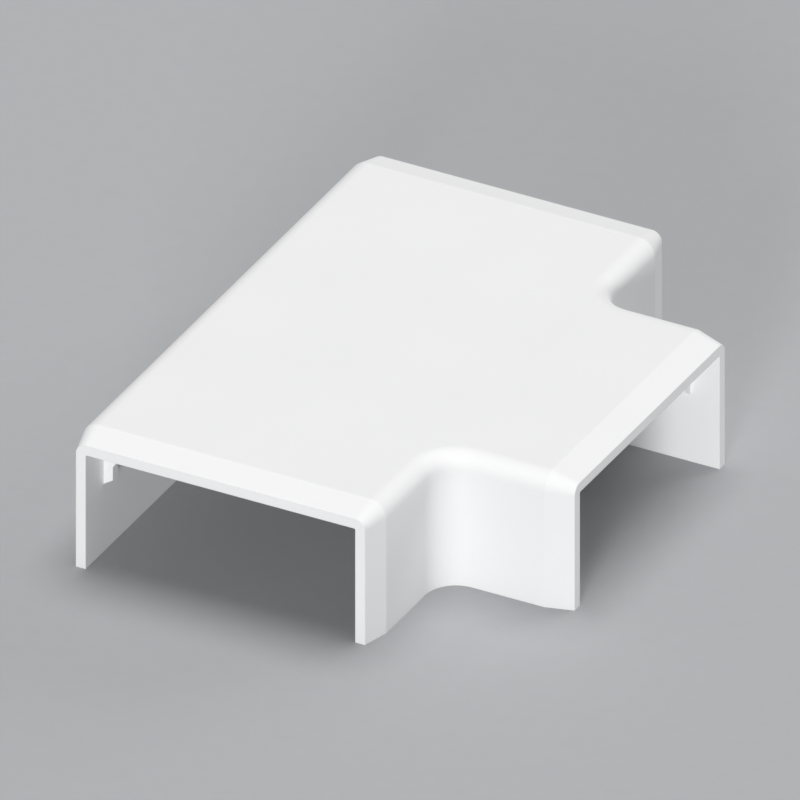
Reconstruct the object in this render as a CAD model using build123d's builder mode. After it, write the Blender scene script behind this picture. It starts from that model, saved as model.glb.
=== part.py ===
"""Trunking tee fitting: one moulded cover, open towards the wall, where a branch of
mini trunking leaves a straight run.

Millimetres, +Z up, away from the wall. The origin is the point on the wall under the
crossing of the two trunking centre lines. The run goes along Y, the branch towards +X.
"""

import os

from build123d import *

# The trunking that the fitting goes over, and the room that it has inside
trunking_width = 40.0
trunking_height = 17.0
run_play = 1.15
branch_play = 0.4
height_play = 0.9

# From the origin out to each of the three mouths
mouth_reach = 42.9

# The mouths are thin lips, and behind them the body swells outwards on both sides and on top
lip_thickness = 1.5
swell = 1.1
taper_length = 4.1
mouth_edge_radius = 1.5
body_edge_radius = 2.5
side_corner_radius = 4.6

# Inside the channel: along the ceiling, and where the branch turns off
ceiling_radius = 0.2
branch_corner_radius = 1.5

# Stop ribs in the two upper corners of each mouth, which the trunking butts against
run_stop_setback = 5.2
branch_stop_setback = 4.5
stop_thickness = 1.5
stop_width = 1.4
stop_hang = 7.25
stop_slant = 0.9
gusset_height = 4.3
gusset_reach = 2.8

# How far a tool runs past the surface that it cuts, and a rib sinks into its wall
overrun = 1.0
rib_root = 0.5

# Sizes that follow
run_channel_width = trunking_width + run_play
branch_channel_width = trunking_width + branch_play
channel_height = trunking_height + height_play
mouth_height = channel_height + lip_thickness
body_height = mouth_height + swell
run_body_width = run_channel_width + 2 * (lip_thickness + swell)
branch_body_width = branch_channel_width + 2 * (lip_thickness + swell)


def mouth_plane(outward, reach):
    """Plane across a mouth: its normal points out of the mouth, and its Y axis points up."""
    up = Vector(0, 0, 1)
    return Plane(origin=outward * reach, x_dir=up.cross(outward), z_dir=outward)


def archway(width, height, edge_radius):
    """Outer section of the fitting: it stands on the wall and its two upper edges are round."""
    with BuildSketch() as section:
        Rectangle(width, height, align=(Align.CENTER, Align.MIN))
        upper_corners = section.vertices().group_by(Axis.Y)[-1]
        fillet(upper_corners, edge_radius)
    return section.sketch


def stop_ribs(channel_width):
    """Section of the pair of ribs across a mouth, rooted in the side walls and the ceiling."""
    wall = channel_width / 2
    inner_edge = wall - stop_width
    with BuildSketch() as ribs:
        with BuildLine():
            Polyline(
                (wall + rib_root, channel_height - stop_hang),
                (wall, channel_height - stop_hang),
                (inner_edge, channel_height - stop_hang + stop_slant),
                (inner_edge, channel_height - gusset_height),
                (inner_edge - gusset_reach, channel_height),
                (inner_edge - gusset_reach, channel_height + rib_root),
                (wall + rib_root, channel_height + rib_root),
                close=True,
            )
        make_face()
        mirror(about=Plane.YZ)
    return ribs.sketch


def tee_block(run_width, branch_width, reach, corner_radius, floor, height, edge_radius):
    """Solid tee: a bar along Y with a bar towards +X, and its three ends at the same reach.
    The plan has round inner corners, and the upper edges are round all along the sides, but
    not across the ends."""
    with BuildPart() as block:
        with BuildSketch(Plane.XY.offset(floor)) as plan:
            Rectangle(run_width, 2 * reach)
            Rectangle(reach, branch_width, align=(Align.MIN, Align.CENTER))
            inner_corners = plan.vertices().group_by(Axis.X)[1].sort_by(Axis.Y)[1:-1]
            fillet(inner_corners, corner_radius)
        extrude(amount=height - floor)
        top = block.faces().sort_by(Axis.Z)[-1]
        side_edges = top.edges().sort_by(Axis.Y)[1:-1].sort_by(Axis.X)[:-1]
        fillet(side_edges, edge_radius)
    return block.part


# Each mouth: the way out of it, the widths of the channel and the body, and the ribs' setback
mouths = [
    (Vector(0, -1, 0), run_channel_width, run_body_width, run_stop_setback),
    (Vector(0, 1, 0), run_channel_width, run_body_width, run_stop_setback),
    (Vector(1, 0, 0), branch_channel_width, branch_body_width, branch_stop_setback),
]

body_block = tee_block(
    run_width=run_body_width,
    branch_width=branch_body_width,
    reach=mouth_reach - taper_length,
    corner_radius=side_corner_radius,
    floor=0,
    height=body_height,
    edge_radius=body_edge_radius,
)
channel_block = tee_block(
    run_width=run_channel_width,
    branch_width=branch_channel_width,
    reach=mouth_reach + overrun,
    corner_radius=branch_corner_radius,
    floor=-overrun,
    height=channel_height,
    edge_radius=ceiling_radius,
)

with BuildPart() as tee_cover:
    add(body_block)

    # Tapered ends: the body's section draws in to the thin lip, and the rim stays on the wall
    for outward, channel_width, body_width, setback in mouths:
        mouth = mouth_plane(outward, mouth_reach)
        with BuildSketch(mouth.offset(-taper_length)):
            add(archway(body_width, body_height, body_edge_radius))
        with BuildSketch(mouth):
            add(archway(channel_width + 2 * lip_thickness, mouth_height, mouth_edge_radius))
        loft(ruled=True)

    add(channel_block, mode=Mode.SUBTRACT)

    for outward, channel_width, body_width, setback in mouths:
        with BuildSketch(mouth_plane(outward, mouth_reach - setback)):
            add(stop_ribs(channel_width))
        extrude(amount=-stop_thickness)

tee_cover.part.label = "tee_cover"

os.makedirs("parts", exist_ok=True)
export_step(tee_cover.part, "parts/tee_cover.step")
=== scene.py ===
"""Trunking tee fitting in smooth white PVC, on a plain pale floor, seen as in the photograph.

Metres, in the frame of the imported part: +Z up, the run along Y, the branch towards +X.
"""

import math

import bpy
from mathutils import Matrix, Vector

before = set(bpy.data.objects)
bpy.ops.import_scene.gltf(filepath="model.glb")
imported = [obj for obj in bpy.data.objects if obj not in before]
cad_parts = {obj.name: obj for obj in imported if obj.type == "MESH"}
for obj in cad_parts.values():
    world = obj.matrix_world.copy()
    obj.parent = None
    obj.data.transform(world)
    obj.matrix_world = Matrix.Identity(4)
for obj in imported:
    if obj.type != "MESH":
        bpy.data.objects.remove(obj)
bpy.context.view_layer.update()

# The photograph's view: a parallel projection, 800 pixels wide and high
PHOTO_SIDE = 800
METRES_PER_PIXEL = 0.000135
PHOTO_AZIMUTH = math.radians(27.86)
PHOTO_ELEVATION = math.radians(31.02)
# Where the part's origin falls in the photograph, from the top left
ORIGIN_PIXEL_X = 368.9
ORIGIN_PIXEL_Y = 461.0
CAMERA_DISTANCE = 0.6
CAMERA_CLIP = (0.01, 10.0)

# White PVC: it drifts faintly between two whites, in linear colours, and two roughnesses
PVC_WHITES = ((0.86, 0.86, 0.86, 1.0), (0.885, 0.885, 0.89, 1.0))
PVC_ROUGHNESS = (0.68, 0.76)
PVC_IOR = 1.53
# Noise scales are in cells to the metre, and detail adds finer layers to the noise
CLOUD_SCALE = 60.0
CLOUD_DETAIL = 3.0
FINE_DETAIL = 2.0
# The fine grain that the mould leaves, and how far the sharp edges look rounded
GRAIN_SCALE = 4500.0
GRAIN_DEPTH = 0.00005
GRAIN_STRENGTH = 0.2
EDGE_ROUND = 0.00015
EDGE_SAMPLES = 6

# Matt grey paper under the part
FLOOR_SIDE = 6.0
FLOOR_GREYS = ((0.43, 0.44, 0.455, 1.0), (0.45, 0.46, 0.475, 1.0))
FLOOR_ROUGHNESS = 0.9
FLOOR_SPECULAR = 0.2
FIBRE_SCALE = 400.0

# Each lamp: azimuth and elevation in degrees, strength, and its width across in degrees
FRONT_LAMP = (16.0, 10.0, 1.95, 14.0)
TOP_LAMP = (180.0, 80.0, 1.8, 40.0)
BACK_LAMP = (150.0, 20.0, 0.6, 30.0)
SKY_STRENGTH = 0.24
SKY_WHITE = (1.0, 1.0, 1.0, 1.0)
# The floor's own tone, which a camera and reflections see past its edge
BACKDROP = (0.446, 0.457, 0.4705, 1.0)


class Finish:
    """A new material: one shader, and noise in the object's own space that drives it."""

    def __init__(self, name):
        self.material = bpy.data.materials.new(name)
        self.material.use_nodes = True
        self.nodes = self.material.node_tree.nodes
        self.link = self.material.node_tree.links.new
        self.shader = self.nodes["Principled BSDF"]
        self.place = self.nodes.new("ShaderNodeTexCoord")

    def drive(self, name, source):
        """Links one of the shader's inputs to a source."""
        self.link(source, self.shader.inputs[name])

    def noise(self, scale, detail):
        """Smooth noise about one half, with so many cells to the metre."""
        noise = self.nodes.new("ShaderNodeTexNoise")
        noise.inputs["Scale"].default_value = scale
        noise.inputs["Detail"].default_value = detail
        self.link(self.place.outputs["Object"], noise.inputs["Vector"])
        return noise.outputs["Fac"]

    def colours(self, factor, pair):
        """Colour that goes with the factor from the first of the pair to the second."""
        mix = self.nodes.new("ShaderNodeMix")
        mix.data_type = "RGBA"
        mix.inputs["A"].default_value = pair[0]
        mix.inputs["B"].default_value = pair[1]
        self.link(factor, mix.inputs["Factor"])
        return mix.outputs["Result"]

    def numbers(self, factor, pair):
        """Number that goes with the factor from the first of the pair to the second."""
        ramp = self.nodes.new("ShaderNodeMapRange")
        ramp.inputs["To Min"].default_value = pair[0]
        ramp.inputs["To Max"].default_value = pair[1]
        self.link(factor, ramp.inputs["Value"])
        return ramp.outputs["Result"]


def white_pvc():
    """Moulded PVC: near white and half matt, with a faint cloudiness and a fine even grain."""
    pvc = Finish("white_pvc")
    pvc.shader.inputs["IOR"].default_value = PVC_IOR
    cloud = pvc.noise(CLOUD_SCALE, CLOUD_DETAIL)
    pvc.drive("Base Color", pvc.colours(cloud, PVC_WHITES))
    pvc.drive("Roughness", pvc.numbers(cloud, PVC_ROUGHNESS))

    edges = pvc.nodes.new("ShaderNodeBevel")
    edges.samples = EDGE_SAMPLES
    edges.inputs["Radius"].default_value = EDGE_ROUND
    grain = pvc.nodes.new("ShaderNodeBump")
    grain.inputs["Strength"].default_value = GRAIN_STRENGTH
    grain.inputs["Distance"].default_value = GRAIN_DEPTH
    pvc.link(pvc.noise(GRAIN_SCALE, FINE_DETAIL), grain.inputs["Height"])
    pvc.link(edges.outputs["Normal"], grain.inputs["Normal"])
    pvc.drive("Normal", grain.outputs["Normal"])
    return pvc.material


def pale_floor():
    """Matt pale grey paper with a faint fibre."""
    paper = Finish("pale_floor")
    paper.shader.inputs["Roughness"].default_value = FLOOR_ROUGHNESS
    paper.shader.inputs["Specular IOR Level"].default_value = FLOOR_SPECULAR
    fibre = paper.noise(FIBRE_SCALE, FINE_DETAIL)
    paper.drive("Base Color", paper.colours(fibre, FLOOR_GREYS))
    return paper.material


def dress_cover():
    """The moulding keeps its solid and gets its finish."""
    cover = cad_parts["tee_cover"]
    finish = white_pvc()
    for index in range(len(cover.data.materials)):
        cover.data.materials[index] = finish


def lay_floor():
    """The surface that the rims stand on, at height zero. It isn't part of the object."""
    bpy.ops.mesh.primitive_plane_add(size=FLOOR_SIDE)
    floor = bpy.context.object
    floor.name = "floor"
    floor.data.materials.append(pale_floor())


def from_direction(azimuth, elevation):
    """Unit vector from the object towards a viewer or a lamp, for angles in radians. Azimuth 0
    is at -Y, and a quarter turn is at +X."""
    flat = math.cos(elevation)
    return Vector((math.sin(azimuth) * flat, -math.cos(azimuth) * flat, math.sin(elevation)))


def far_lamp(name, azimuth, elevation, strength, width):
    """A lamp far away: parallel light, with the soft shadows of a wide source."""
    light = bpy.data.lights.new(name, "SUN")
    light.energy = strength
    light.angle = math.radians(width)
    lamp = bpy.data.objects.new(name, light)
    back = from_direction(math.radians(azimuth), math.radians(elevation))
    lamp.rotation_mode = "QUATERNION"
    lamp.rotation_quaternion = back.to_track_quat("Z", "Y")
    bpy.context.scene.collection.objects.link(lamp)


def light_scene():
    """A low lamp that shines in at the two near mouths, a wide one overhead, a faint one behind
    that parts the far side from the floor, and an even pale sky all round."""
    far_lamp("front_lamp", *FRONT_LAMP)
    far_lamp("top_lamp", *TOP_LAMP)
    far_lamp("back_lamp", *BACK_LAMP)

    world = bpy.data.worlds.new("studio")
    world.use_nodes = True
    nodes = world.node_tree.nodes
    link = world.node_tree.links.new
    sky = nodes["Background"]
    sky.inputs["Color"].default_value = SKY_WHITE
    sky.inputs["Strength"].default_value = SKY_STRENGTH
    backdrop = nodes.new("ShaderNodeBackground")
    backdrop.inputs["Color"].default_value = BACKDROP
    # The backdrop is seen directly, mirrored or through something clear, and gives no other light
    ray = nodes.new("ShaderNodeLightPath")
    seen = ray.outputs["Is Camera Ray"]
    for kind in ("Is Glossy Ray", "Is Transmission Ray"):
        either = nodes.new("ShaderNodeMath")
        either.operation = "MAXIMUM"
        link(seen, either.inputs[0])
        link(ray.outputs[kind], either.inputs[1])
        seen = either.outputs["Value"]
    choice = nodes.new("ShaderNodeMixShader")
    link(seen, choice.inputs["Fac"])
    link(sky.outputs["Background"], choice.inputs[1])
    link(backdrop.outputs["Background"], choice.inputs[2])
    link(choice.outputs["Shader"], nodes["World Output"].inputs["Surface"])
    bpy.context.scene.world = world


def place_camera():
    """Puts the part's origin on the pixel where the photograph has it."""
    back = from_direction(PHOTO_AZIMUTH, PHOTO_ELEVATION)
    turn = back.to_track_quat("Z", "Y")
    right = turn @ Vector((1, 0, 0))
    up = turn @ Vector((0, 1, 0))
    half = PHOTO_SIDE / 2
    aim = right * (half - ORIGIN_PIXEL_X) + up * (ORIGIN_PIXEL_Y - half)
    data = bpy.data.cameras.new("camera")
    data.type = "ORTHO"
    data.ortho_scale = PHOTO_SIDE * METRES_PER_PIXEL
    data.clip_start, data.clip_end = CAMERA_CLIP
    camera = bpy.data.objects.new("camera", data)
    camera.location = aim * METRES_PER_PIXEL + back * CAMERA_DISTANCE
    camera.rotation_mode = "QUATERNION"
    camera.rotation_quaternion = turn
    bpy.context.scene.collection.objects.link(camera)
    bpy.context.scene.camera = camera


dress_cover()
lay_floor()
light_scene()
place_camera()
bpy.context.scene.view_settings.view_transform = "Standard"
